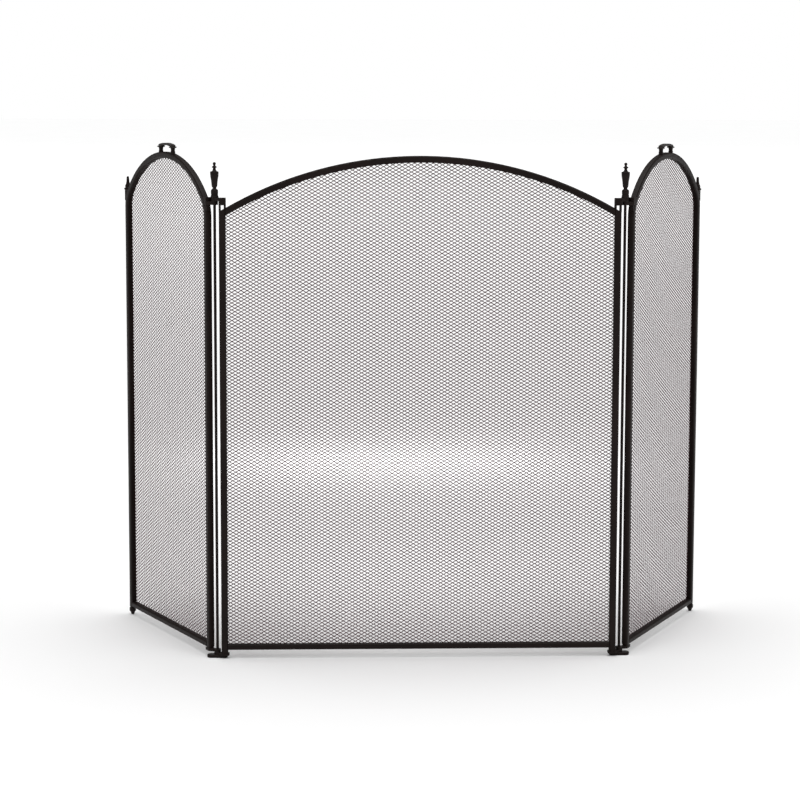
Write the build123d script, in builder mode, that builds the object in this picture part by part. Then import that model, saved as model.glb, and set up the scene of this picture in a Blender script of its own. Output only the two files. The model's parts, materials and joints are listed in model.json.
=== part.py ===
from build123d import *
from math import acos, cos, degrees, radians, sin, sqrt
import os

# Three-panel folding fireplace screen, in millimetres.
# +Z is up, X runs along the centre panel and the room side faces -Y.
# The origin is on the floor, at the middle of the footprint of the opened screen.
# A panel is described by u, the distance along it from its hinge axis, by height z,
# and by F, the distance in front of the hinge axis.

# Hinge layout
HINGE_X = 341.8          # hinge axis from the middle of the centre panel
FOLD_ANGLE = 60.0        # each wing is folded back this far from the line of the centre panel
HINGE_GAP = 7.2          # hinge axis to the nearest face of a stile
ROD_R = 2.4
RUNNING = 0.05           # radial clearance of a rod in a hole

# Frame section, from the back of a panel to its front
RETAINER_T = 1.2
MESH_T = 0.8
BAR_DEPTH = 8.8
BAR = 11.2               # width of the stiles and arches seen from the front
RAIL_H = 9.5             # height of the bottom rails
BAR_ROUND = 2.8
BACK_F = 1.5
MESH_F = BACK_F + RETAINER_T
BAR_F = MESH_F + MESH_T
FRONT_F = BAR_F + BAR_DEPTH
MID_F = BAR_F + BAR_DEPTH / 2

# Heights
RAIL_Z = 14.5            # lower edge of the bottom rails
EAR_T = 4.0              # ears at the foot of the hinge
TOP_EAR_T = 5.6          # ears at its top
FOOT_T = 5.0
WASHER_T = 0.8
EAR_PLAY = 0.3
CAP_TOP_Z = 780.4        # top of the hinge bracket, under the tall finial
CENTRE_APEX_Z = 850.1
WING_APEX_Z = 850.5

# Panels
CENTRE_ARCH_R = 648.0    # outer radius of the centre panel's shallow arch
WING_W = 326.0
WING_ARCH_R = 198.0      # outer radius of a wing's arch
WING_BEND_R = 50.0       # outer radius of the bend from a wing's stile into its arch
MESH_INSET = 2.5         # edge of the mesh, inside the outer edge of the frame
RETAINER_INSET = 1.5
RETAINER_INNER = 9.0     # inner edge of the retainer, inside the outer edge of the frame

# Screws that hold the mesh retainers
SCREW_R = 1.2
SCREW_HEAD_R = 2.2
SCREW_HEAD_T = 1.0
SCREW_LENGTH = 5.0
SCREW_GRIP = SCREW_LENGTH - RETAINER_T - MESH_T      # length of a screw inside a bar

# Handle on top of each wing
POST_SPACING = 47.0
POST_H = 7.4
POST_CAP_R = 6.8
POST_CAP_T = 2.4
HANDLE_SET_IN = 5.5      # the handle stands this much nearer the hinge than the top of the arch
GRIP_REACH = 28.0        # half the length of the grip
GRIP_PAD_REACH = 17.5    # the grip is flat on its posts beyond this, and arched between
GRIP_LIFT = 2.0          # rise of its underside at the middle
GRIP_H = 5.6
GRIP_END_T = 1.6
GRIP_DEPTH = 8.0
GRIP_CORNER_R = 3.2

# Derived places
CENTRE_BOTTOM_EAR_Z = FOOT_T
BOTTOM_WASHER_Z = CENTRE_BOTTOM_EAR_Z + EAR_T
WING_BOTTOM_EAR_Z = BOTTOM_WASHER_Z + WASHER_T + EAR_PLAY
WING_STILE_Z = WING_BOTTOM_EAR_Z + EAR_T
CENTRE_TOP_EAR_Z = CAP_TOP_Z - TOP_EAR_T
TOP_WASHER_Z = CENTRE_TOP_EAR_Z - WASHER_T
WING_TOP_EAR_Z = TOP_WASHER_Z - EAR_PLAY - TOP_EAR_T
EAR_EYE_R = 5.8
EAR_FRONT_F = FRONT_F + 0.7
OUTER_AXIS_U = HINGE_GAP + WING_W - 5.0     # axis of the short finial on a wing's outer end
OUTER_FLANGE_R = 7.0
OUTER_FINIAL_Z = 777.6
FOOT_AXIS_U = HINGE_GAP + WING_W - BAR / 2
WING_MID_U = HINGE_GAP + WING_W / 2
WING_ARCH_Z = WING_APEX_Z - WING_ARCH_R
CENTRE_ARCH_Z = CENTRE_APEX_Z - CENTRE_ARCH_R
CENTRE_HALF_W = HINGE_X - HINGE_GAP
FOLD_COS = cos(radians(FOLD_ANGLE))
FOLD_SIN = sin(radians(FOLD_ANGLE))

# The hinge line is set so that the footprint is centred on the origin:
# its front is the lip of the hinge ears, its back the outer flange of a wing.
FOOTPRINT_FRONT = -EAR_FRONT_F
FOOTPRINT_BACK = OUTER_AXIS_U * FOLD_SIN - MID_F * FOLD_COS + OUTER_FLANGE_R
HINGE_Y = -(FOOTPRINT_FRONT + FOOTPRINT_BACK) / 2

os.makedirs("parts", exist_ok=True)


def save(builder, name):
    """Label a finished piece and write it as its own STEP file."""
    builder.part.label = name
    export_step(builder.part, f"parts/{name}.step")


def centre_plane(front):
    """Upright plane of the centre panel: local x is X, local y is height."""
    return Plane(origin=(0, HINGE_Y - front, 0), x_dir=(1, 0, 0), z_dir=(0, -1, 0))


def out_dir(side):
    """Direction of a wing away from its hinge; side is -1 for left and 1 for right."""
    return Vector(side * FOLD_COS, FOLD_SIN, 0)


def front_dir(side):
    """Direction that the front of a wing faces."""
    return Vector(side * FOLD_SIN, -FOLD_COS, 0)


def wing_point(side, u, front, z=0.0):
    """Point of a wing, from the distances along it and in front of its hinge axis."""
    hinge = Vector(side * HINGE_X, HINGE_Y, z)
    return hinge + out_dir(side) * u + front_dir(side) * front


def wing_plane(side, front):
    """Upright plane of a wing: local x is u, local y is height."""
    return Plane(origin=wing_point(side, 0, front), x_dir=out_dir(side), z_dir=front_dir(side) * side)


def wing_level(side, z):
    """Level plane at a wing's hinge axis: local x is u, local y is -side * F."""
    return Plane(origin=wing_point(side, 0, 0, z), x_dir=out_dir(side), z_dir=(0, 0, 1))


def centre_level(side, z):
    """Level plane at a hinge axis whose local x runs in along the centre panel, local y is side * F."""
    return Plane(origin=(side * HINGE_X, HINGE_Y, z), x_dir=(-side, 0, 0), z_dir=(0, 0, 1))


def turning_plane(point):
    """Upright plane through a vertical axis, for the profile of a turned piece."""
    return Plane(origin=point, x_dir=(1, 0, 0), z_dir=(0, -1, 0))


def wing_outline(inset, bottom):
    """Face of a wing, inside its outer edge by inset: two stiles, two bends and a round arch."""
    bend = WING_BEND_R - inset
    arch = WING_ARCH_R - inset
    bend_u = WING_W / 2 - WING_BEND_R
    reach = WING_ARCH_R - WING_BEND_R
    bend_z = WING_ARCH_Z + sqrt(reach**2 - bend_u**2)
    turn = degrees(acos(bend_u / reach))
    half = WING_W / 2 - inset
    with BuildSketch(Plane.XY) as face:
        with BuildLine():
            Line((WING_MID_U + half, bottom), (WING_MID_U + half, bend_z))
            CenterArc((WING_MID_U + bend_u, bend_z), bend, 0, turn)
            CenterArc((WING_MID_U, WING_ARCH_Z), arch, turn, 180 - 2 * turn)
            CenterArc((WING_MID_U - bend_u, bend_z), bend, 180 - turn, turn)
            Line((WING_MID_U - half, bend_z), (WING_MID_U - half, bottom))
            Line((WING_MID_U - half, bottom), (WING_MID_U + half, bottom))
        make_face()
    return face.sketch


def centre_outline(inset, bottom):
    """Face of the centre panel, inside its outer edge by inset: two stiles and a shallow arch."""
    half = CENTRE_HALF_W - inset
    radius = CENTRE_ARCH_R - inset
    spring_z = CENTRE_ARCH_Z + sqrt(radius**2 - half**2)
    with BuildSketch(Plane.XY) as face:
        with BuildLine():
            Line((-half, bottom), (half, bottom))
            Line((half, bottom), (half, spring_z))
            ThreePointArc((half, spring_z), (0, CENTRE_ARCH_Z + radius), (-half, spring_z))
            Line((-half, spring_z), (-half, bottom))
        make_face()
    return face.sketch


def ear_outline(mirror_y, length):
    """Plan of a hinge ear: an eye round the rod and a dog-leg out over the end of a stile."""
    end = HINGE_GAP + length
    tip_r = 1.6
    back_edge = [(0, -3.0), (HINGE_GAP, 2.0), (end, BAR_F - 0.5)]
    front_edge = [(end, EAR_FRONT_F), (HINGE_GAP, EAR_FRONT_F), (0, 5.6)]
    with BuildSketch(Plane.XY) as plan:
        with BuildLine():
            Polyline([(u, mirror_y * f) for u, f in back_edge + front_edge], close=True)
        make_face()
        end_corners = plan.vertices().group_by(Axis.X)[-1]
        fillet(end_corners, radius=tip_r)
        Circle(EAR_EYE_R)
        Circle(ROD_R + RUNNING, mode=Mode.SUBTRACT)
    return plan.sketch


def shoulder_outline(mirror_y, length):
    """Plan of the thick part of a top ear: only what stands over a stile, clear of the other ear."""
    with BuildSketch(Plane.XY) as plan:
        add(ear_outline(mirror_y, length))
        with Locations((HINGE_GAP + length / 2, 0)):
            Rectangle(length, 4 * EAR_FRONT_F, mode=Mode.INTERSECT)
    return plan.sketch


def screw_points(mid_x, half_w, low_z, high_z, arch_z, arch_r, arch_turn, arch_count, rail_count):
    """Places of the retainer screws: up both stiles, along the bottom rail and round the arch."""
    stile_count = 5
    points = []
    for side in (-1, 1):
        for i in range(stile_count):
            points.append((mid_x + side * half_w, low_z + (high_z - low_z) * (i + 0.5) / stile_count))
    for i in range(rail_count):
        points.append((mid_x + half_w * (2 * (i + 0.5) / rail_count - 1), RAIL_Z + RAIL_H / 2))
    for i in range(arch_count):
        turn = radians(90 - arch_turn + 2 * arch_turn * (i + 0.5) / arch_count)
        points.append((mid_x + arch_r * cos(turn), arch_z + arch_r * sin(turn)))
    return points


CENTRE_SCREWS = screw_points(0, CENTRE_HALF_W - BAR / 2, 30, 735,
                             CENTRE_ARCH_Z, CENTRE_ARCH_R - BAR / 2, 28, 6, 5)
WING_SCREWS = screw_points(WING_MID_U, WING_W / 2 - BAR / 2, 30, 735,
                           WING_ARCH_Z, WING_ARCH_R - BAR / 2, 44, 4, 3)


# ---------------------------------------------------------------- centre panel

ARCH_SWEEP = 34.0        # each half of the arch is bent through this turn before its end is cut

# The two stiles stand on the bottom ears, and their tops are cut to the curve of the arch.
for side, word in ((-1, "left"), (1, "right")):
    stile_x = side * (CENTRE_HALF_W - BAR / 2)
    with BuildPart() as centre_stile:
        with BuildSketch(centre_plane(MID_F)):
            add(centre_outline(0, BOTTOM_WASHER_Z))
            with Locations((stile_x, 0)):
                Rectangle(BAR, 3 * CENTRE_APEX_Z, mode=Mode.INTERSECT)
        extrude(amount=BAR_DEPTH / 2, both=True)
        front_edges = centre_stile.faces().sort_by(Axis.Y)[0].edges().filter_by(Axis.Z)
        fillet(front_edges, radius=BAR_ROUND)
        stile_screws = [p for p in CENTRE_SCREWS if abs(p[0] - stile_x) < BAR / 2]
        with BuildSketch(centre_plane(BAR_F)):
            with Locations(*stile_screws):
                Circle(SCREW_R + RUNNING)
        extrude(amount=SCREW_GRIP, mode=Mode.SUBTRACT)
    save(centre_stile, f"centre_{word}_stile")

# The arch is the same bar bent to a shallow curve, its ends cut upright between the stiles.
with BuildPart() as centre_arch_rail:
    start = radians(ARCH_SWEEP)
    section_r = CENTRE_ARCH_R - BAR / 2
    section_at = (-section_r * sin(start), HINGE_Y - MID_F, CENTRE_ARCH_Z + section_r * cos(start))
    with BuildSketch(Plane(section_at, x_dir=(0, -1, 0), z_dir=(cos(start), 0, sin(start)))) as section:
        Rectangle(BAR_DEPTH, BAR)
        fillet(section.vertices().group_by(Axis.Y)[0], radius=BAR_ROUND)
    revolve(axis=Axis((0, 0, CENTRE_ARCH_Z), (0, 1, 0)), revolution_arc=2 * ARCH_SWEEP)
    arch_middle = (0, HINGE_Y - MID_F, CENTRE_APEX_Z)
    with Locations(arch_middle):
        Box(2 * (CENTRE_HALF_W - BAR), BAR, CENTRE_APEX_Z, mode=Mode.INTERSECT)
    arch_screws = [p for p in CENTRE_SCREWS if p[1] > CENTRE_ARCH_Z + CENTRE_ARCH_R / 2
                   and abs(p[0]) < CENTRE_HALF_W - BAR]
    with BuildSketch(centre_plane(BAR_F)):
        with Locations(*arch_screws):
            Circle(SCREW_R + RUNNING)
    extrude(amount=SCREW_GRIP, mode=Mode.SUBTRACT)
save(centre_arch_rail, "centre_arch_rail")

with BuildPart() as centre_bottom_rail:
    with BuildSketch(centre_plane(MID_F)):
        with Locations((0, RAIL_Z + RAIL_H / 2)):
            Rectangle(2 * (CENTRE_HALF_W - BAR), RAIL_H)
    extrude(amount=BAR_DEPTH / 2, both=True)
    fillet(centre_bottom_rail.faces().sort_by(Axis.Y)[0].edges().filter_by(Axis.X), radius=BAR_ROUND)
    rail_screws = [p for p in CENTRE_SCREWS if p[1] < RAIL_Z + BAR]
    with BuildSketch(centre_plane(BAR_F)):
        with Locations(*rail_screws):
            Circle(SCREW_R + RUNNING)
    extrude(amount=SCREW_GRIP, mode=Mode.SUBTRACT)
save(centre_bottom_rail, "centre_bottom_rail")

# Wire mesh, as a thin plate of its true outline, and the strip that clamps it to the bars.
with BuildPart() as centre_mesh:
    with BuildSketch(centre_plane(MESH_F)):
        add(centre_outline(MESH_INSET, RAIL_Z + MESH_INSET))
        with Locations(*CENTRE_SCREWS):
            Circle(SCREW_R + RUNNING, mode=Mode.SUBTRACT)
    extrude(amount=MESH_T)
save(centre_mesh, "centre_mesh")

with BuildPart() as centre_mesh_retainer:
    with BuildSketch(centre_plane(BACK_F)):
        add(centre_outline(RETAINER_INSET, RAIL_Z + RETAINER_INSET))
        add(centre_outline(RETAINER_INNER, RAIL_Z + RETAINER_INNER), mode=Mode.SUBTRACT)
        with Locations(*CENTRE_SCREWS):
            Circle(SCREW_R + RUNNING, mode=Mode.SUBTRACT)
    extrude(amount=RETAINER_T)
save(centre_mesh_retainer, "centre_mesh_retainer")

with BuildPart() as centre_retainer_screws:
    with BuildSketch(centre_plane(BACK_F)):
        with Locations(*CENTRE_SCREWS):
            Circle(SCREW_HEAD_R)
    extrude(amount=-SCREW_HEAD_T)
    with BuildSketch(centre_plane(BACK_F)):
        with Locations(*CENTRE_SCREWS):
            Circle(SCREW_R)
    extrude(amount=SCREW_LENGTH)
save(centre_retainer_screws, "centre_retainer_screws")

# ---------------------------------------------------------------- hinges, fixed to the centre panel

ROD_TOP_Z = CAP_TOP_Z + 9.0
LEG_T = 3.4              # legs of the top bracket, down to the stile and to the arch
LEG_CLEAR = 0.4
BALL_R = 2.7             # ball on the tip of the tall finial
BALL_Z = 55.9
BALL_TURN = 50.0         # where the neck meets the ball, below its middle
BALL_START = (BALL_R * cos(radians(BALL_TURN)), BALL_Z - BALL_R * sin(radians(BALL_TURN)))

for side, word in ((-1, "left"), (1, "right")):
    hinge = Vector(side * HINGE_X, HINGE_Y, 0)

    # The rod runs the full height of the gap between the panels.
    with BuildPart() as hinge_rod:
        with BuildSketch(Plane.XY.offset(1.0)):
            with Locations((hinge.X, hinge.Y)):
                Circle(ROD_R)
        extrude(amount=ROD_TOP_Z - 1.0)
        chamfer(hinge_rod.edges().filter_by(GeomType.CIRCLE), length=0.4)
    save(hinge_rod, f"{word}_hinge_rod")

    # Turned urn finial: collar, waist, urn, neck, disc and ball, bored to screw on the rod.
    with BuildPart() as hinge_finial:
        with BuildSketch(turning_plane(hinge + Vector(0, 0, CAP_TOP_Z))):
            with BuildLine():
                Polyline((0, 0), (6.6, 0), (6.9, 0.4), (6.9, 1.4))
                ThreePointArc((6.9, 1.4), (6.35, 1.75), (6.1, 2.4))
                Line((6.1, 2.4), (6.1, 5.0))
                ThreePointArc((6.1, 5.0), (5.5, 5.6), (6.1, 6.2))
                Line((6.1, 6.2), (6.1, 10.6))
                ThreePointArc((6.1, 10.6), (5.3, 13.0), (3.4, 14.2))
                ThreePointArc((3.4, 14.2), (3.1, 15.6), (3.7, 17.0))
                Line((3.7, 17.0), (4.3, 17.6))
                Spline((4.3, 17.6), (5.3, 25.5), (6.6, 34.0), (7.1, 40.8), tangents=((0.35, 1), (0, 1)))
                Line((7.1, 40.8), (7.1, 42.2))
                ThreePointArc((7.1, 42.2), (6.6, 42.9), (5.8, 43.2))
                Spline((5.8, 43.2), (3.2, 44.9), (2.4, 48.6), tangents=((-1, 0.1), (0, 1)))
                ThreePointArc((2.4, 48.6), (3.3, 49.2), (4.3, 49.9))
                ThreePointArc((4.3, 49.9), (4.5, 50.5), (4.1, 51.0))
                ThreePointArc((4.1, 51.0), (2.6, 51.9), BALL_START)
                CenterArc((0, BALL_Z), BALL_R, -BALL_TURN, BALL_TURN)
                CenterArc((0, BALL_Z), BALL_R, 0, 90)
                Line((0, BALL_Z + BALL_R), (0, 0))
            make_face()
        revolve(axis=Axis(hinge, (0, 0, 1)))
        with BuildSketch(Plane.XY.offset(CAP_TOP_Z)):
            with Locations((hinge.X, hinge.Y)):
                Circle(ROD_R + RUNNING)
        extrude(amount=ROD_TOP_Z - CAP_TOP_Z + 0.5, mode=Mode.SUBTRACT)
    save(hinge_finial, f"{word}_hinge_finial")

    # Foot plate under the hinge, long enough to stand under both stiles.
    with BuildPart() as hinge_foot:
        with BuildSketch(Plane.XY):
            with Locations((hinge.X, hinge.Y)):
                SlotOverall(35.0, 15.0)
        extrude(amount=FOOT_T)
        fillet(hinge_foot.faces().sort_by(Axis.Z)[-1].edges(), radius=1.6)
        fillet(hinge_foot.faces().sort_by(Axis.Z)[0].edges(), radius=0.8)
        with BuildSketch(Plane.XY.offset(1.0)):
            with Locations((hinge.X, hinge.Y)):
                Circle(ROD_R + RUNNING)
        extrude(amount=FOOT_T, mode=Mode.SUBTRACT)
    save(hinge_foot, f"{word}_hinge_foot")

    # Ears of the centre panel. The bottom one carries the stile.
    with BuildPart() as centre_bottom_ear:
        with BuildSketch(centre_level(side, CENTRE_BOTTOM_EAR_Z)):
            add(ear_outline(side, BAR + 2.2))
        extrude(amount=EAR_T)
        fillet(centre_bottom_ear.faces().sort_by(Axis.Z)[0].edges().sort_by(Axis.Y)[0], radius=1.0)
    save(centre_bottom_ear, f"{word}_centre_bottom_ear")

    # The top one is a bracket: its two legs reach down to the sloping end of the arch.
    with BuildPart() as centre_top_ear:
        with BuildSketch(centre_level(side, CENTRE_TOP_EAR_Z)):
            add(ear_outline(side, BAR + 0.6))
        extrude(amount=TOP_EAR_T)
        with BuildSketch(centre_level(side, WING_TOP_EAR_Z)):
            add(shoulder_outline(side, BAR + 0.6))
        extrude(amount=CENTRE_TOP_EAR_Z - WING_TOP_EAR_Z)
        fillet(centre_top_ear.faces().sort_by(Axis.Z)[-1].edges().sort_by(Axis.Y)[0], radius=1.0)
        with BuildSketch(centre_plane(MID_F)):
            with Locations((side * (CENTRE_HALF_W - LEG_T / 2), WING_TOP_EAR_Z),
                           (side * (CENTRE_HALF_W - BAR - 0.6 + LEG_T / 2), WING_TOP_EAR_Z)):
                Rectangle(LEG_T, 4 * BAR)
            add(centre_outline(0, BOTTOM_WASHER_Z), mode=Mode.SUBTRACT)
            with Locations((0, WING_TOP_EAR_Z + 1.0 + CENTRE_APEX_Z / 2)):
                Rectangle(3 * HINGE_X, CENTRE_APEX_Z, mode=Mode.SUBTRACT)
        extrude(amount=BAR_DEPTH / 2 - LEG_CLEAR, both=True)
    save(centre_top_ear, f"{word}_centre_top_ear")

    # Thrust washers between the ears of the two panels.
    for level, where in ((TOP_WASHER_Z, "top"), (BOTTOM_WASHER_Z, "bottom")):
        with BuildPart() as hinge_washer:
            with BuildSketch(Plane.XY.offset(level)):
                with Locations((hinge.X, hinge.Y)):
                    Circle(EAR_EYE_R - 0.5)
                    Circle(ROD_R + RUNNING, mode=Mode.SUBTRACT)
            extrude(amount=WASHER_T)
        save(hinge_washer, f"{word}_hinge_{where}_washer")

# ---------------------------------------------------------------- wings

LUG_START_Z = 758.0      # where the arch has turned about 1 mm away from the line of the stile
LUG_DEPTH = BAR_DEPTH - 0.8
PEG_R = 2.3              # round-ended peg on top of the short finial
PEG_TOP_Z = 23.8

for side, word in ((-1, "left"), (1, "right")):

    # Stiles and arch are one bent bar.
    with BuildPart() as wing_frame:
        with BuildSketch(wing_plane(side, MID_F)):
            add(wing_outline(0, WING_STILE_Z))
            add(wing_outline(BAR, WING_STILE_Z), mode=Mode.SUBTRACT)
        extrude(amount=BAR_DEPTH / 2, both=True)
        front_face = wing_frame.faces().sort_by(Axis(wing_point(side, 0, 0), front_dir(side)))[-1]
        long_edges = [e for e in front_face.edges() if e.center().Z > WING_STILE_Z + 1]
        fillet(long_edges, radius=BAR_ROUND)
        with BuildSketch(wing_plane(side, BAR_F)):
            with Locations(*[p for p in WING_SCREWS if p[1] > RAIL_Z + BAR]):
                Circle(SCREW_R + RUNNING)
        extrude(amount=side * SCREW_GRIP, mode=Mode.SUBTRACT)
    save(wing_frame, f"{word}_wing_frame")

    with BuildPart() as wing_rail:
        with BuildSketch(wing_plane(side, MID_F)):
            with Locations((WING_MID_U, RAIL_Z + RAIL_H / 2)):
                Rectangle(WING_W - 2 * BAR, RAIL_H)
        extrude(amount=BAR_DEPTH / 2, both=True)
        rail_front = wing_rail.faces().sort_by(Axis(wing_point(side, 0, 0), front_dir(side)))[-1]
        fillet(rail_front.edges().filter_by(Axis.Z, reverse=True), radius=BAR_ROUND)
        with BuildSketch(wing_plane(side, BAR_F)):
            with Locations(*[p for p in WING_SCREWS if p[1] < RAIL_Z + BAR]):
                Circle(SCREW_R + RUNNING)
        extrude(amount=side * SCREW_GRIP, mode=Mode.SUBTRACT)
    save(wing_rail, f"{word}_wing_bottom_rail")

    with BuildPart() as wing_mesh:
        with BuildSketch(wing_plane(side, MESH_F)):
            add(wing_outline(MESH_INSET, RAIL_Z + MESH_INSET))
            with Locations(*WING_SCREWS):
                Circle(SCREW_R + RUNNING, mode=Mode.SUBTRACT)
        extrude(amount=side * MESH_T)
    save(wing_mesh, f"{word}_wing_mesh")

    with BuildPart() as wing_retainer:
        with BuildSketch(wing_plane(side, BACK_F)):
            add(wing_outline(RETAINER_INSET, RAIL_Z + RETAINER_INSET))
            add(wing_outline(RETAINER_INNER, RAIL_Z + RETAINER_INNER), mode=Mode.SUBTRACT)
            with Locations(*WING_SCREWS):
                Circle(SCREW_R + RUNNING, mode=Mode.SUBTRACT)
        extrude(amount=side * RETAINER_T)
    save(wing_retainer, f"{word}_wing_mesh_retainer")

    with BuildPart() as wing_screws:
        with BuildSketch(wing_plane(side, BACK_F)):
            with Locations(*WING_SCREWS):
                Circle(SCREW_HEAD_R)
        extrude(amount=-side * SCREW_HEAD_T)
        with BuildSketch(wing_plane(side, BACK_F)):
            with Locations(*WING_SCREWS):
                Circle(SCREW_R)
        extrude(amount=side * SCREW_LENGTH)
    save(wing_screws, f"{word}_wing_retainer_screws")

    # Lugs fill the corners where the arch turns away from the line of each stile.
    lugs = ((HINGE_GAP + BAR / 2, WING_TOP_EAR_Z, "hinge"),
            (HINGE_GAP + WING_W - BAR / 2, OUTER_FINIAL_Z, "outer"))
    for lug_u, lug_top, where in lugs:
        with BuildPart() as lug:
            with BuildSketch(wing_plane(side, MID_F)):
                with Locations((lug_u, (LUG_START_Z + lug_top) / 2)):
                    Rectangle(BAR, lug_top - LUG_START_Z)
                add(wing_outline(0, WING_STILE_Z), mode=Mode.SUBTRACT)
            extrude(amount=LUG_DEPTH / 2, both=True)
        save(lug, f"{word}_wing_{where}_lug")

    # Ears of the wing, which turn on the rod. They lie between the centre panel's ears.
    with BuildPart() as wing_bottom_ear:
        with BuildSketch(wing_level(side, WING_BOTTOM_EAR_Z)):
            add(ear_outline(-side, BAR + 2.2))
        extrude(amount=EAR_T)
    save(wing_bottom_ear, f"{word}_wing_bottom_ear")

    # The top one is cut to the curve of the arch, and its block rises level with the fixed ear.
    with BuildPart() as wing_top_ear:
        with BuildSketch(wing_level(side, WING_TOP_EAR_Z)):
            add(ear_outline(-side, BAR + 1.2))
        extrude(amount=TOP_EAR_T)
        with BuildSketch(wing_level(side, WING_TOP_EAR_Z + TOP_EAR_T)):
            add(shoulder_outline(-side, BAR + 1.2))
        extrude(amount=CAP_TOP_Z - WING_TOP_EAR_Z - TOP_EAR_T)
        with BuildSketch(wing_plane(side, MID_F)):
            add(wing_outline(0, WING_STILE_Z))
        extrude(amount=2 * BAR, both=True, mode=Mode.SUBTRACT)
    save(wing_top_ear, f"{word}_wing_top_ear")

    # Short finial at the outer end: a flange cut flat where it meets the arch, a cone and a peg.
    axis_point = wing_point(side, OUTER_AXIS_U, MID_F)
    with BuildPart() as outer_finial:
        with BuildSketch(turning_plane(axis_point + Vector(0, 0, OUTER_FINIAL_Z))):
            with BuildLine():
                Polyline((0, 0), (OUTER_FLANGE_R - 0.6, 0), (OUTER_FLANGE_R, 0.6),
                         (OUTER_FLANGE_R, 1.9))
                ThreePointArc((OUTER_FLANGE_R, 1.9), (6.6, 2.7), (5.4, 3.0))
                ThreePointArc((5.4, 3.0), (4.8, 4.2), (5.2, 5.4))
                Spline((5.2, 5.4), (4.1, 9.0), (2.7, 14.4), tangents=((0, 1), (-0.15, 1)))
                Line((2.7, 14.4), (PEG_R, PEG_TOP_Z - PEG_R))
                CenterArc((0, PEG_TOP_Z - PEG_R), PEG_R, 0, 90)
                Line((0, PEG_TOP_Z), (0, 0))
            make_face()
        revolve(axis=Axis(axis_point, (0, 0, 1)))
        flat = Plane(origin=wing_point(side, HINGE_GAP + WING_W - 9.6, 0), z_dir=out_dir(side))
        split(bisect_by=flat, keep=Keep.TOP)
    save(outer_finial, f"{word}_outer_finial")

    # Turned outer foot.
    foot_point = wing_point(side, FOOT_AXIS_U, MID_F)
    with BuildPart() as outer_foot:
        with BuildSketch(turning_plane(foot_point)):
            with BuildLine():
                Polyline((0, 0), (1.9, 0))
                ThreePointArc((1.9, 0), (2.5, 0.4), (2.8, 1.0))
                Line((2.8, 1.0), (4.6, 5.6))
                ThreePointArc((4.6, 5.6), (5.5, 6.1), (5.9, 7.0))
                Line((5.9, 7.0), (5.9, 11.6))
                ThreePointArc((5.9, 11.6), (5.6, 12.7), (4.8, 13.2))
                Polyline((4.8, 13.2), (4.6, WING_STILE_Z), (0, WING_STILE_Z), (0, 0))
            make_face()
        revolve(axis=Axis(foot_point, (0, 0, 1)))
    save(outer_foot, f"{word}_outer_foot")

    # Handle: two turned posts seated on the curve of the arch, their caps and an arched grip.
    cap_z = WING_APEX_Z + POST_H
    handle_u = WING_MID_U - HANDLE_SET_IN
    flat_r = POST_CAP_R - 1.4
    for at, where in ((-1, "inner"), (1, "outer")):
        post_point = wing_point(side, handle_u + at * POST_SPACING / 2, MID_F)
        with BuildPart() as handle_post:
            with BuildSketch(turning_plane(post_point + Vector(0, 0, cap_z))):
                with BuildLine():
                    Polyline((0, 0), (4.0, 0), (4.0, -1.2))
                    Spline((4.0, -1.2), (3.5, -3.8), (4.1, -7.0), tangents=((-0.3, -1), (0.3, -1)))
                    Polyline((4.1, -7.0), (4.1, -2 * POST_H), (0, -2 * POST_H), (0, 0))
                make_face()
            revolve(axis=Axis(post_point, (0, 0, 1)))
            with BuildSketch(wing_plane(side, MID_F)):
                with Locations((WING_MID_U, WING_ARCH_Z)):
                    Circle(WING_ARCH_R)
            extrude(amount=2 * BAR, both=True, mode=Mode.SUBTRACT)
        save(handle_post, f"{word}_handle_{where}_post")

        with BuildPart() as handle_cap:
            with BuildSketch(turning_plane(post_point + Vector(0, 0, cap_z))):
                with BuildLine():
                    Line((0, 0), (flat_r, 0))
                    ThreePointArc((flat_r, 0), (flat_r + 1.0, 0.3), (POST_CAP_R, 1.1))
                    ThreePointArc((POST_CAP_R, 1.1), (flat_r + 1.0, 1.7), (flat_r, POST_CAP_T))
                    Polyline((flat_r, POST_CAP_T), (0, POST_CAP_T), (0, 0))
                make_face()
            revolve(axis=Axis(post_point, (0, 0, 1)))
        save(handle_cap, f"{word}_handle_{where}_cap")

    pad_z = cap_z + POST_CAP_T
    end_z = pad_z + GRIP_END_T
    left_u = handle_u - GRIP_REACH
    right_u = handle_u + GRIP_REACH
    pad_left = (handle_u - GRIP_PAD_REACH, pad_z)
    pad_right = (handle_u + GRIP_PAD_REACH, pad_z)
    with BuildPart() as handle_grip:
        with BuildSketch(wing_plane(side, MID_F)):
            with BuildLine():
                Polyline((left_u, end_z), (left_u, pad_z), pad_left)
                ThreePointArc(pad_left, (handle_u, pad_z + GRIP_LIFT), pad_right)
                Polyline(pad_right, (right_u, pad_z), (right_u, end_z))
                ThreePointArc((right_u, end_z), (handle_u, pad_z + GRIP_H), (left_u, end_z))
            make_face()
        extrude(amount=GRIP_DEPTH / 2, both=True)
        fillet(handle_grip.edges().filter_by(Axis.Z), radius=GRIP_CORNER_R)
    save(handle_grip, f"{word}_handle_grip")
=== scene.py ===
import bmesh
import bpy
import json
import numpy as np
from math import ceil, cos, floor, pi, radians, sin
from mathutils import Matrix, Vector


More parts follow.
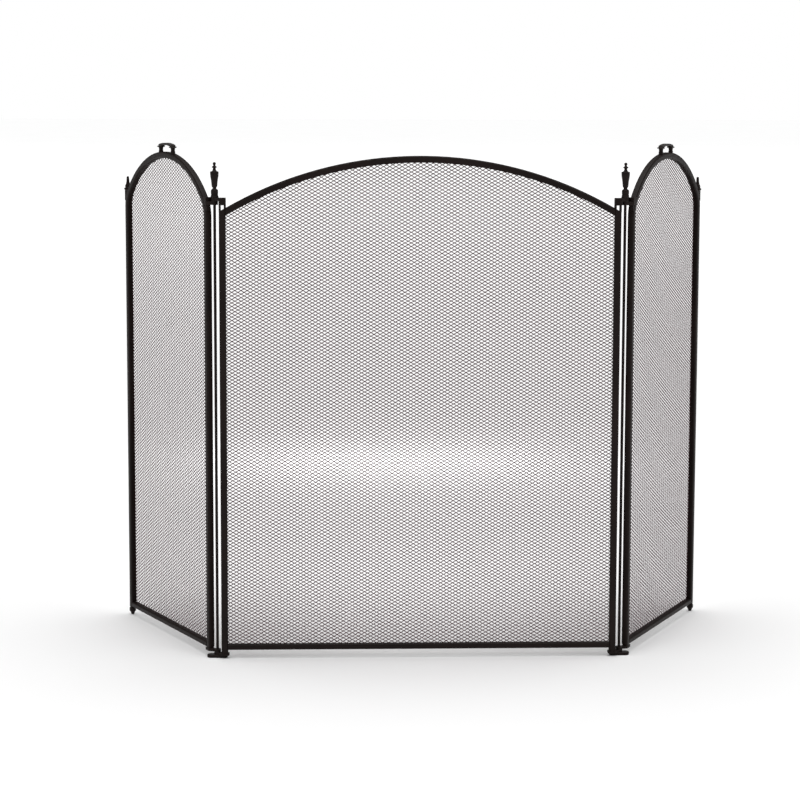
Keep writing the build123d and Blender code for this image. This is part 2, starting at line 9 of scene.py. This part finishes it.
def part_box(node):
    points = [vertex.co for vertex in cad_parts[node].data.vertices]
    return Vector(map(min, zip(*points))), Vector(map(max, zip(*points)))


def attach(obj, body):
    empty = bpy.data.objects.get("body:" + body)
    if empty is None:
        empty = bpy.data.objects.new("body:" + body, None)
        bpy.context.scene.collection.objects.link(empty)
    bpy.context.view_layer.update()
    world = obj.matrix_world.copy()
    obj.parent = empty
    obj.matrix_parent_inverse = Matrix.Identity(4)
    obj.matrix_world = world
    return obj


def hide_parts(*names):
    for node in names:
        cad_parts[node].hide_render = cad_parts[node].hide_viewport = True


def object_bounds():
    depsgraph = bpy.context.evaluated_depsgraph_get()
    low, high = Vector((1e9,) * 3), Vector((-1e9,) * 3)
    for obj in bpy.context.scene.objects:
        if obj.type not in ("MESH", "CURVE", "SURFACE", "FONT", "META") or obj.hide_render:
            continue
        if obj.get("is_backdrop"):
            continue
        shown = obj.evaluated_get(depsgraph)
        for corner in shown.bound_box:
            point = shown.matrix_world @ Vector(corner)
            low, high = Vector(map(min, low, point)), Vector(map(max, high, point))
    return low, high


# Three-panel fireplace screen: dark powder-coated bars and turned trim, woven wire panels.
# Metres throughout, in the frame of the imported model.

MM = 0.001
SEED = 7
FOLD_ANGLE = radians(60)          # each wing is folded back this far at rest

# Woven wire
DIAMOND_W = 10.3 * MM             # one opening of the weave, corner to corner
DIAMOND_H = 5.9 * MM
WIRE_TUCK = 1.8 * MM              # a wire is cut this far inside the edge of its panel
WIRE_HALF_W = 0.70 * MM           # across the wire, in the plane of the weave
WIRE_HALF_T = 0.66 * MM
WIRE_OFFSET = 0.28 * MM           # how far a wire rides over and under the plane of the weave

# Retainer screws
HEAD_R = 2.2 * MM
HEAD_T = 1.0 * MM
SHANK_R = 1.1 * MM
SHANK_LENGTH = 3.6 * MM
RECESS_HALF_W = 0.28 * MM
RECESS_R = 1.2 * MM
RECESS_DEPTH = 0.55 * MM
RECESS_TAPER = 0.82               # the floor of the recess is this much smaller than its mouth

# Camera
CAMERA_AT = (-0.1434, -3.520, 0.9865)
CAMERA_YAW = radians(1.855)
CAMERA_PITCH = radians(6.07)
CAMERA_ROLL = radians(0.16)
CAMERA_LENS = 91.72
CAMERA_SHIFT_Y = -0.138
SENSOR = 36.0

# Studio
FLOOR_HALF = 40.0
SKY_LIGHT = 0.3
SUN_POWER = 2.55
SUN_ANGLE = radians(70)           # a wide sun gives the softest shadows
SUN_TILT = radians(6)
SIDE_POWER = 4
SIDE_SIZE = (1.4, 1.8)
GLOW_BEHIND = 1.45                # the strip light lies this far behind the wings
GLOW_POWER = 1.3
GLOW_SIZE = (0.66, 0.3)
FILL_Y = 0.3                      # between the wings, over the floor behind the centre panel
FILL_POWER = 0.5
FILL_SIZE = (0.6, 0.3)
FAR_Y = 14.0
FAR_POWER = 110
FAR_SIZE = (14.0, 14.0)

# Colours
DARK = (0.0070, 0.0036, 0.0029, 1)
WARM = (0.0125, 0.0072, 0.0060, 1)
# Lighter edge colour: partly abraded coating, partly a painted highlight along the bar edges
EDGE_WEAR_AND_HIGHLIGHT = (0.150, 0.118, 0.102, 1)
BARE_STEEL = (0.22, 0.21, 0.2, 1)
WIRE_DARK = (0.080, 0.036, 0.043, 1)
WIRE_LIGHT = (0.116, 0.058, 0.067, 1)
FLOOR_DARK = (0.90, 0.90, 0.90, 1)
FLOOR_LIGHT = (0.93, 0.93, 0.93, 1)

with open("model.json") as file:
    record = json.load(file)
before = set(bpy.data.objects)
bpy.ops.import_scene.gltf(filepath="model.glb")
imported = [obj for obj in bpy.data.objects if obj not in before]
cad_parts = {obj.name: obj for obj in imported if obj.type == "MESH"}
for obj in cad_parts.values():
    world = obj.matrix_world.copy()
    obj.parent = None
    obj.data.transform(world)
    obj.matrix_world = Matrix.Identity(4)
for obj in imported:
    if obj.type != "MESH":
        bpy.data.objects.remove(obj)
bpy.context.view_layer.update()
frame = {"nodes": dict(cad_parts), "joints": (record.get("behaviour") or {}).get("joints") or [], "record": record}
rng = np.random.default_rng(SEED)


# ---------------------------------------------------------------- small helpers

def mesh_object(name, vertices, faces, material, smooth=True):
    """A new piece from plain arrays of vertices and faces."""
    data = bpy.data.meshes.new(name)
    data.from_pydata([tuple(v) for v in vertices], [], [tuple(f) for f in faces])
    data.polygons.foreach_set("use_smooth", [smooth] * len(data.polygons))
    data.materials.append(material)
    data.update()
    piece = bpy.data.objects.new(name, data)
    bpy.context.scene.collection.objects.link(piece)
    return piece


def face_outward(piece):
    """Turns every face of closed shapes to look out of them."""
    shape = bmesh.new()
    shape.from_mesh(piece.data)
    bmesh.ops.recalc_face_normals(shape, faces=shape.faces)
    shape.to_mesh(piece.data)
    shape.free()
    piece.data.update()


def local_points(node, panel):
    """A CAD node's vertices as distances along a panel, in front of its hinge axis, and up."""
    points = np.array([v.co for v in frame["nodes"][node].data.vertices])
    rel = points - panel["origin"]
    return np.stack([rel @ panel["along"], rel @ panel["front"], points[:, 2]], axis=1)


def to_world(panel, u, front, z):
    """The reverse of local_points."""
    spot = np.outer(u, panel["along"]) + np.outer(front, panel["front"]) + panel["origin"]
    spot[:, 2] = z
    return spot


def make_panels():
    """The three panels, each with its body, its hinge axis and its two level directions."""
    panels = [dict(name="centre", body="centre_panel", origin=np.array([0.0, 0.0, 0.0]),
                   along=np.array([1.0, 0.0, 0.0]), front=np.array([0.0, -1.0, 0.0]))]
    for joint in frame["joints"]:
        side = -1 if joint["child"] == "left_wing" else 1
        low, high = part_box(f"{'left' if side < 0 else 'right'}_hinge_rod")
        middle = (low + high) / 2
        panels.append(dict(name=joint["child"], body=joint["child"],
                           origin=np.array([middle.x, middle.y, 0.0]),
                           along=np.array([side * cos(FOLD_ANGLE), sin(FOLD_ANGLE), 0.0]),
                           front=np.array([side * sin(FOLD_ANGLE), -cos(FOLD_ANGLE), 0.0])))
    return panels


# ---------------------------------------------------------------- materials

def new_material(name):
    """An empty node material with its Principled shader, and a helper that adds nodes."""
    material = bpy.data.materials.new(name)
    material.use_nodes = True
    nodes, links = material.node_tree.nodes, material.node_tree.links
    shader = nodes["Principled BSDF"]

    def add(kind, inputs=None, **settings):
        node = nodes.new("ShaderNode" + kind)
        for key, value in settings.items():
            setattr(node, key, value)
        for key, value in (inputs or {}).items():
            if isinstance(value, bpy.types.NodeSocket):
                links.new(value, node.inputs[key])
            else:
                node.inputs[key].default_value = value
        return node

    return material, shader, add, links


def stretched(add, scale):
    """Object coordinates in metres, scaled apart in x, y and z."""
    where = add("TexCoord")
    return add("Mapping", {"Vector": where.outputs["Object"], "Scale": scale}).outputs["Vector"]


def noise(add, vector, scale, detail=3.0, rough=0.55):
    """Noise from about 0.3 to 0.7; scale is in repeats per metre."""
    return add("TexNoise", {"Vector": vector, "Scale": scale, "Detail": detail,
                            "Roughness": rough}).outputs["Fac"]


def ramp(add, value, low, high, out_low=0.0, out_high=1.0):
    """A value from low to high, spread over out_low to out_high and held at its ends."""
    return add("MapRange", {"Value": value, "From Min": low, "From Max": high,
                            "To Min": out_low, "To Max": out_high}).outputs["Result"]


def blend_colours(add, factor, first, second):
    """From the first colour at 0 to the second at 1; each may be a value or a socket."""
    mix = add("Mix", data_type="RGBA")
    for key, value in ((0, factor), (6, first), (7, second)):
        if isinstance(value, bpy.types.NodeSocket):
            mix.id_data.links.new(value, mix.inputs[key])
        else:
            mix.inputs[key].default_value = value
    return mix.outputs[2]


def edge_share(add, radius):
    """1 on sharp edges and 0 on flat faces, from how far a rounded normal leans off the true one."""
    bevel = add("Bevel", {"Radius": radius}, samples=4)
    true = add("NewGeometry")
    dot = add("VectorMath", {0: bevel.outputs["Normal"], 1: true.outputs["Normal"]},
              operation="DOT_PRODUCT")
    return ramp(add, dot.outputs["Value"], 0.995, 0.86)


def coated(name, dark, light, edge_wear_and_highlight_colour, rough=(0.36, 0.52), orange_peel=900.0, bump=0.12,
           stretch=(1, 1, 1), wear_and_highlight_amount=0.5, specular=0.13):
    """Baked-on coating over steel: two close browns, orange-peel bump, and lighter sharp edges that are partly
    abraded coating and partly a painted highlight along the bevels.
    """
    material, shader, add, links = new_material(name)
    spot = stretched(add, stretch)
    broad = noise(add, spot, 9.0, 4.0)
    fine = noise(add, spot, orange_peel, 2.0)
    mottle = noise(add, spot, 130.0, 5.0, 0.7)
    body = blend_colours(add, ramp(add, broad, 0.35, 0.68), dark, light)
    flecks = ramp(add, mottle, 0.62, 0.78, 0.0, 0.35)
    body = blend_colours(add, flecks, body, light)
    # Sharp edges, speckled by the mottle, go toward the lighter edge colour: partly abrasion, partly a painted
    # bevel highlight
    wear_and_highlight_mask = add("Math", {0: edge_share(add, 0.5 * MM), 1: ramp(add, mottle, 0.46, 0.62)},
                 operation="MULTIPLY").outputs["Value"]
    wear_and_highlight_mask = add("Math", {0: wear_and_highlight_mask, 1: wear_and_highlight_amount}, operation="MULTIPLY").outputs["Value"]
    links.new(blend_colours(add, wear_and_highlight_mask, body, edge_wear_and_highlight_colour), shader.inputs["Base Color"])
    links.new(ramp(add, mottle, 0.3, 0.7, *rough), shader.inputs["Roughness"])
    shader.inputs["Specular IOR Level"].default_value = specular
    relief = add("Bump", {"Height": fine, "Strength": bump, "Distance": 0.25 * MM})
    links.new(relief.outputs["Normal"], shader.inputs["Normal"])
    return material


def wire_material():
    """Dark brown coated wire, with a faint broken sheen along it."""
    material, shader, add, links = new_material("woven_wire")
    spot = stretched(add, (1, 1, 1))
    patches = noise(add, spot, 26.0, 4.0, 0.6)
    grains = noise(add, spot, 1600.0, 2.0)
    colour = blend_colours(add, ramp(add, patches, 0.35, 0.68), WIRE_DARK, WIRE_LIGHT)
    links.new(colour, shader.inputs["Base Color"])
    links.new(ramp(add, grains, 0.3, 0.7, 0.30, 0.46), shader.inputs["Roughness"])
    shader.inputs["Specular IOR Level"].default_value = 0.35
    relief = add("Bump", {"Height": grains, "Strength": 0.08, "Distance": 0.1 * MM})
    links.new(relief.outputs["Normal"], shader.inputs["Normal"])
    return material


def floor_material():
    """Plain pale studio floor, with the slightest mottling."""
    material, shader, add, links = new_material("studio_floor")
    spot = stretched(add, (1, 1, 1))
    patches = noise(add, spot, 1.5, 3.0)
    links.new(blend_colours(add, patches, FLOOR_DARK, FLOOR_LIGHT), shader.inputs["Base Color"])
    shader.inputs["Roughness"].default_value = 0.9
    shader.inputs["Specular IOR Level"].default_value = 0.1
    return material


MATERIALS = {
    "frame_bar": coated("frame_bar_coat", DARK, WARM, EDGE_WEAR_AND_HIGHLIGHT),
    "hinge_casting": coated("casting_coat", DARK, WARM, EDGE_WEAR_AND_HIGHLIGHT, rough=(0.42, 0.6),
                            orange_peel=420.0, bump=0.3, wear_and_highlight_amount=0.6),
    "turned_trim": coated("turned_coat", DARK, WARM, EDGE_WEAR_AND_HIGHLIGHT, rough=(0.3, 0.42),
                          stretch=(1, 1, 6), bump=0.1, wear_and_highlight_amount=0.65),
    "hinge_rod": coated("rod_coat", DARK, WARM, EDGE_WEAR_AND_HIGHLIGHT, rough=(0.3, 0.5),
                        stretch=(1, 1, 0.05), bump=0.14),
    "retainer_strip": coated("strip_coat", DARK, WARM, EDGE_WEAR_AND_HIGHLIGHT, rough=(0.4, 0.58),
                             orange_peel=600.0, bump=0.2, wear_and_highlight_amount=0.7),
    "screw": coated("screw_coat", DARK, WARM, BARE_STEEL, rough=(0.28, 0.44),
                    wear_and_highlight_amount=0.9, specular=0.6),
    "nylon_washer": coated("nylon", (0.018, 0.018, 0.018, 1), (0.03, 0.03, 0.03, 1),
                           (0.06, 0.06, 0.06, 1), rough=(0.5, 0.62), wear_and_highlight_amount=0.3),
    "wire_mesh": wire_material(),
}


def coat_cad_nodes():
    """Every carried-over CAD node gets the detailed material of its slot."""
    slots = {part["node"]: part["material_slot"] for part in frame["record"]["subparts"]}
    for name, node in frame["nodes"].items():
        for place in node.material_slots:
            place.material = MATERIALS[slots[name]]


# ---------------------------------------------------------------- woven wire panels

def outline(points):
    """Convex outline of plane points, anticlockwise."""
    points = sorted(set((round(float(u), 6), round(float(z), 6)) for u, z in points))

    def half(ordered):
        chain = []
        for p in ordered:
            while len(chain) > 1:
                (ax, ay), (bx, by) = chain[-2], chain[-1]
                if (bx - ax) * (p[1] - ay) - (by - ay) * (p[0] - ax) > 0:
                    break
                chain.pop()
            chain.append(p)
        return chain[:-1]

    return half(points) + half(points[::-1])


def reach(shape, slope, rise):
    """Where the line z = slope * u + rise enters and leaves a convex outline, or None."""
    hits = []
    for (au, az), (bu, bz) in zip(shape, shape[1:] + shape[:1]):
        a = az - slope * au - rise
        b = bz - slope * bu - rise
        if a * b < 0:
            hits.append(au + (bu - au) * a / (a - b))
    return (min(hits), max(hits)) if len(hits) > 1 else None


def weave_family(panel, shape, plane_f, tilt, middle_u):
    """All the wires of one direction in a panel, as one mesh of four-sided tubes."""
    slope = tilt * DIAMOND_H / DIAMOND_W
    step = DIAMOND_W / 2
    shape = [(u - middle_u, z) for u, z in shape]
    rises = [z - slope * u for u, z in shape]
    run = np.array([1.0, slope]) / np.hypot(1.0, slope)
    ring_side = WIRE_HALF_W * np.array([1, 0, -1, 0])
    ring_out = WIRE_HALF_T * np.array([0, 1, 0, -1])
    vertices, faces, count = [], [], 0
    for row in range(ceil(min(rises) / DIAMOND_H), floor(max(rises) / DIAMOND_H) + 1):
        ends = reach(shape, slope, row * DIAMOND_H)
        if ends is None or ends[1] - ends[0] < step:
            continue
        ends = (ends[0] + WIRE_TUCK, ends[1] - WIRE_TUCK)
        crossings = np.arange(ceil(ends[0] / step), floor(ends[1] / step) + 1) * step
        u = np.concatenate([[ends[0]], crossings, [ends[1]]])
        z = slope * u + row * DIAMOND_H
        over = tilt * WIRE_OFFSET * np.cos(pi * u / step)
        ring_u = u[:, None] - run[1] * ring_side
        ring_z = z[:, None] + run[0] * ring_side
        ring_f = plane_f + over[:, None] + ring_out
        vertices.append(to_world(panel, ring_u.ravel() + middle_u, ring_f.ravel(), ring_z.ravel()))
        first = count + 4 * np.arange(len(u) - 1)[:, None] + np.arange(4)
        after = count + 4 * np.arange(len(u) - 1)[:, None] + (np.arange(4) + 1) % 4
        faces.append(np.stack([first, after, after + 4, first + 4], axis=2).reshape(-1, 4))
        start_cap = count + np.array([[3, 2, 1, 0]])
        end_cap = count + 4 * (len(u) - 1) + np.array([[0, 1, 2, 3]])
        faces += [start_cap, end_cap]
        count += 4 * len(u)
    return np.concatenate(vertices), np.concatenate(faces)


def weave_panel(panel):
    """Replaces a panel's plain plate by two families of wires that pass over and under."""
    node = f"{panel['name']}_mesh"
    points = local_points(node, panel)
    plane_f = (points[:, 1].min() + points[:, 1].max()) / 2
    middle_u = (points[:, 0].min() + points[:, 0].max()) / 2
    shape = outline(points[:, [0, 2]])
    for tilt, word in ((1, "rising"), (-1, "falling")):
        vertices, faces = weave_family(panel, shape, plane_f, tilt, middle_u)
        piece = mesh_object(f"{panel['name']}_{word}_wires", vertices, faces,
                            MATERIALS["wire_mesh"])
        face_outward(piece)
        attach(piece, panel["body"])
        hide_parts(node)


# ---------------------------------------------------------------- retainer screws

def screw_shape():
    """One pan-head screw with a cross recess, its head's flat underside at the origin, head up."""
    profile = [(SHANK_R, -SHANK_LENGTH), (SHANK_R, 0.0), (HEAD_R, 0.0), (HEAD_R, 0.3 * MM),
               (2.05 * MM, 0.62 * MM), (1.7 * MM, 0.84 * MM), (RECESS_R, 0.96 * MM),
               (0.8 * MM, HEAD_T), (0.45 * MM, HEAD_T)]
    shape = bmesh.new()
    rings = []
    for radius, height in profile:
        lean = np.arcsin(min(RECESS_HALF_W / radius, 0.7))
        turns = []
        for arm in range(4):
            middle = arm * pi / 2
            gap = pi / 2 - 2 * lean
            turns += [middle - lean, middle + lean, middle + lean + gap / 3,
                      middle + lean + 2 * gap / 3]
        rings.append([shape.verts.new((radius * cos(t), radius * sin(t), height)) for t in turns])
    shape.faces.new(rings[0][::-1])
    recess = []
    for i, (lower, upper) in enumerate(zip(rings, rings[1:])):
        for k in range(16):
            n = (k + 1) % 16
            face = shape.faces.new((lower[k], lower[n], upper[n], upper[k]))
            if k % 4 == 0 and profile[i][0] <= RECESS_R and profile[i][1] > 0:
                recess.append(face)
    recess.append(shape.faces.new(rings[-1]))
    sunk = bmesh.ops.extrude_face_region(shape, geom=recess)
    moved = [g for g in sunk["geom"] if isinstance(g, bmesh.types.BMVert)]
    bmesh.ops.translate(shape, verts=moved, vec=(0, 0, -RECESS_DEPTH))
    bmesh.ops.scale(shape, verts=moved, vec=(RECESS_TAPER, RECESS_TAPER, 1))
    bmesh.ops.delete(shape, geom=recess, context="FACES")
    bmesh.ops.recalc_face_normals(shape, faces=shape.faces)
    shape.verts.index_update()
    vertices = np.array([v.co for v in shape.verts])
    faces = [[v.index for v in f.verts] for f in shape.faces]
    shape.free()
    return vertices, faces


def screw_places(points):
    """Middle of each screw, from the vertices of the heads' back faces."""
    back = points[points[:, 1] < points[:, 1].min() + 0.1 * MM]
    groups = []
    for u, _, z in back:
        near = [g for g in groups if abs(g[0][0] - u) < 3 * HEAD_R and abs(g[0][1] - z) < 3 * HEAD_R]
        if near:
            near[0].append((u, z))
        else:
            groups.append([(u, z)])
    return [((min(p[0] for p in g) + max(p[0] for p in g)) / 2,
             (min(p[1] for p in g) + max(p[1] for p in g)) / 2) for g in groups]


def fit_screws(panel):
    """Cross-recess screws in place of a panel's plain ones, each turned to a chance angle."""
    node = f"{panel['name']}_retainer_screws"
    points = local_points(node, panel)
    seat = points[:, 1].min() + HEAD_T
    shape, shape_faces = screw_shape()
    vertices, faces, count = [], [], 0
    for u, z in screw_places(points):
        turn = rng.uniform(0, pi / 2)
        right = shape[:, 0] * cos(turn) - shape[:, 1] * sin(turn)
        up = shape[:, 0] * sin(turn) + shape[:, 1] * cos(turn)
        vertices.append(to_world(panel, u + right, seat - shape[:, 2], z + up))
        faces += [[count + i for i in f] for f in shape_faces]
        count += len(shape)
    piece = mesh_object(f"{panel['name']}_pan_head_screws", np.concatenate(vertices), faces,
                        MATERIALS["screw"], smooth=False)
    face_outward(piece)
    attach(piece, panel["body"])
    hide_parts(node)


# ---------------------------------------------------------------- studio

def make_floor():
    """A level floor that runs out of sight in every direction."""
    half = FLOOR_HALF
    corners = [(-half, -half, 0), (half, -half, 0), (half, half, 0), (-half, half, 0)]
    floor_piece = mesh_object("studio_floor", corners, [(0, 1, 2, 3)], floor_material())
    floor_piece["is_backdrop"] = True


def area_light(name, at, target, size, power):
    """A rectangular white light that the camera doesn't see."""
    data = bpy.data.lights.new(name, "AREA")
    data.shape = "RECTANGLE"
    data.size, data.size_y = size
    data.energy = power
    light = bpy.data.objects.new(name, data)
    light.location = at
    light.rotation_euler = (Vector(target) - Vector(at)).to_track_quat("-Z", "Y").to_euler()
    light.visible_camera = False
    bpy.context.scene.collection.objects.link(light)


def make_lights():
    """Soft overhead light, two side panels, and three lights that lift the floor behind."""
    low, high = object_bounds()
    middle = (low + high) / 2
    overhead = bpy.data.lights.new("overhead", "SUN")
    overhead.energy = SUN_POWER
    overhead.angle = SUN_ANGLE
    sun = bpy.data.objects.new("overhead", overhead)
    sun.rotation_euler = (SUN_TILT, 0, 0)
    bpy.context.scene.collection.objects.link(sun)
    area_light("left_panel", (-2.2, -2.4, 1.7), middle, SIDE_SIZE, SIDE_POWER)
    area_light("right_panel", (2.4, -2.2, 1.7), middle, SIDE_SIZE, SIDE_POWER)
    glow_y = high.y + GLOW_BEHIND
    area_light("floor_glow", (0.0, glow_y, 0.28), (0.0, glow_y, 0), GLOW_SIZE, GLOW_POWER)
    area_light("near_fill", (0.0, FILL_Y, 0.5), (0.0, FILL_Y, 0), FILL_SIZE, FILL_POWER)
    area_light("far_wash", (0.0, FAR_Y, 3.0), (0.0, FAR_Y, 0), FAR_SIZE, FAR_POWER)
    make_world()


def make_world():
    """White where it is seen past the floor, and dimmer as a source of light."""
    world = bpy.data.worlds.new("studio")
    world.use_nodes = True
    tree = world.node_tree
    sky = tree.nodes["Background"]
    sky.inputs["Color"].default_value = (1, 1, 1, 1)
    seen = tree.nodes.new("ShaderNodeLightPath")
    level = tree.nodes.new("ShaderNodeMapRange")
    level.inputs["To Min"].default_value = SKY_LIGHT
    level.inputs["To Max"].default_value = 1.0
    tree.links.new(seen.outputs["Is Camera Ray"], level.inputs["Value"])
    tree.links.new(level.outputs["Result"], sky.inputs["Strength"])
    bpy.context.scene.world = world


def make_camera():
    """A long lens with its shift lowered, turned by yaw, pitch and roll."""
    data = bpy.data.cameras.new("camera")
    data.sensor_width = SENSOR
    data.lens = CAMERA_LENS
    data.shift_y = CAMERA_SHIFT_Y
    forward = Vector((sin(CAMERA_YAW) * cos(CAMERA_PITCH), cos(CAMERA_YAW) * cos(CAMERA_PITCH),
                      -sin(CAMERA_PITCH)))
    level = Vector((cos(CAMERA_YAW), -sin(CAMERA_YAW), 0))
    upright = level.cross(forward)
    right = level * cos(CAMERA_ROLL) + upright * sin(CAMERA_ROLL)
    up = right.cross(forward)
    turn = Matrix((right, up, -forward)).transposed()
    camera = bpy.data.objects.new("camera", data)
    camera.matrix_world = Matrix.Translation(CAMERA_AT) @ turn.to_4x4()
    bpy.context.scene.collection.objects.link(camera)
    bpy.context.scene.camera = camera


coat_cad_nodes()
for panel in make_panels():
    weave_panel(panel)
    fit_screws(panel)
make_floor()
make_lights()
make_camera()
bpy.context.scene.view_settings.view_transform = "Standard"
